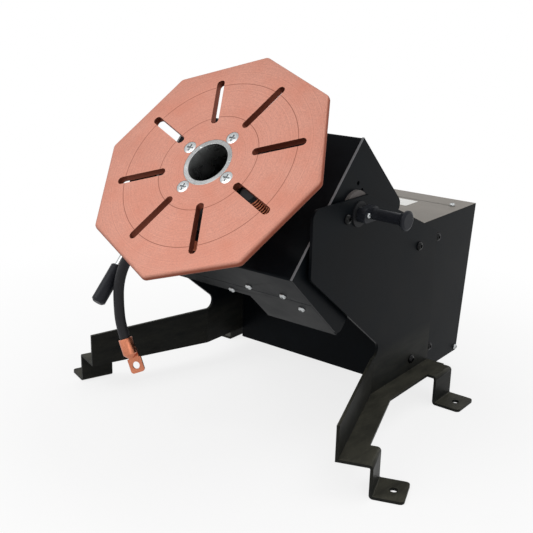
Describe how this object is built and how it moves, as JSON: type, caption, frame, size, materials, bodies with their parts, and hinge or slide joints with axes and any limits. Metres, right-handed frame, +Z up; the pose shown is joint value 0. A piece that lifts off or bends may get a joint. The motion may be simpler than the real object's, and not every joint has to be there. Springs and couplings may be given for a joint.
{
  "type": "welding positioner",
  "caption": "Bench welding positioner: tilting motor head with a slotted octagonal copper table, between splayed sheet-metal side frames on a rear control box",
  "frame": {"origin": "on the floor midway between the two front foot holes", "axes": "+Z up, -Y towards the operator's side where the table faces, +X along the tilt axis to the clamp lever's side"},
  "size_m": [0.5994, 0.6075, 0.5075],
  "materials": {
    "aluminium": "die cast, bead blasted",
    "bearing_steel": "ground and polished",
    "black_plastic": "textured moulded plastic",
    "black_sheet": "satin black powder coat",
    "black_steel": "black oxide",
    "bright_steel": "machined",
    "bronze": "sintered bronze",
    "carbon": "copper graphite brush",
    "cast_housing": "machined casting, oiled",
    "circuit_board": "solder mask",
    "copper": "copper, fine-turned and slightly oxidised",
    "cover_paint": "satin black powder coat",
    "friction_lining": "moulded friction material",
    "grip_plastic": "satin moulded grip",
    "red_plastic": "moulded rocker",
    "rubber_jacket": "satin cable jacket",
    "zinc_steel": "bright zinc plate"
  },
  "bodies": {
    "stand": {"side_frame_right": "black_sheet", "side_frame_left": "black_sheet", "frame_screws": "black_steel", "wall_screws": "black_steel", "stop_screws": "black_steel", "frame_nuts": "zinc_steel", "rear_cover": "cover_paint", "base_tray": "black_sheet", "rear_panel": "black_sheet", "cover_screws": "zinc_steel", "power_inlet": "black_plastic", "power_switch": "black_plastic", "speed_pot": "aluminium", "pedal_socket": "bright_steel", "control_board": "circuit_board", "power_supply": "aluminium", "frame_bush_right": "bronze", "frame_bush_left": "bronze", "friction_plate_right": "friction_lining", "friction_plate_left": "friction_lining"},
    "head": {"trunnion_right": "bright_steel", "trunnion_left": "bright_steel", "trunnion_cap": "black_steel", "head_shell": "black_sheet", "head_cheek_right": "black_sheet", "head_cheek_left": "black_sheet", "head_rear_cover": "black_sheet", "head_bolts": "black_steel", "head_screws": "black_steel", "bearing_housing": "cast_housing", "front_bearing": "bearing_steel", "rear_bearing": "bearing_steel", "housing_screws": "black_steel", "gearbox": "aluminium", "drive_motor": "black_steel", "motor_bracket": "zinc_steel", "brush_holder": "bronze", "earth_brush": "carbon", "brush_spring": "copper", "earth_bar": "copper", "terminal_bolt": "zinc_steel", "handle_rod": "zinc_steel", "handle_grip": "grip_plastic", "handle_nut": "zinc_steel", "upper_lug": "copper", "earth_cable": "rubber_jacket", "earth_lug": "copper"},
    "table": {"earth_table": "copper", "table_screws": "zinc_steel", "spindle": "bright_steel", "drive_gear": "bright_steel", "spindle_nut": "black_steel"},
    "pinion": {"drive_pinion": "bright_steel", "motor_shaft": "bright_steel"},
    "lever": {"clamp_lever": "grip_plastic", "lever_screw": "zinc_steel"},
    "knob": {"speed_knob": "black_plastic"},
    "rocker": {"switch_rocker": "red_plastic"}
  },
  "joints": [
    {"name": "head_tilt", "type": "hinge", "parent": "stand", "child": "head", "pos_m": [0, 0.08031, 0.32], "axis": [1, 0, 0], "range_deg": [-46.5, 43.5]},
    {"name": "table_spin", "type": "hinge", "parent": "head", "child": "table", "pos_m": [0, -0.03591, 0.38203], "axis": [0, -0.7254, 0.6884], "continuous": true},
    {"name": "pinion_spin", "type": "hinge", "parent": "head", "child": "pinion", "pos_m": [0.06364, 0.00443, 0.25602], "axis": [0, -0.7254, 0.6884], "continuous": true},
    {"name": "lever_turn", "type": "hinge", "parent": "head", "child": "lever", "pos_m": [0.163, 0.08031, 0.32], "axis": [1, 0, 0], "range_deg": [-60, 60]},
    {"name": "speed_turn", "type": "hinge", "parent": "stand", "child": "knob", "pos_m": [0.06, 0.44268, 0.174], "axis": [0, 0.994, -0.1095], "range_deg": [-135, 135]},
    {"name": "switch_tip", "type": "hinge", "parent": "stand", "child": "rocker", "pos_m": [-0.095, 0.42781, 0.13037], "axis": [0, 0.1095, 0.994], "range_deg": [-13, 0]}
  ],
  "couplings": [
    {"joint": "pinion_spin", "follows": "table_spin", "ratio": -3.5}
  ]
}
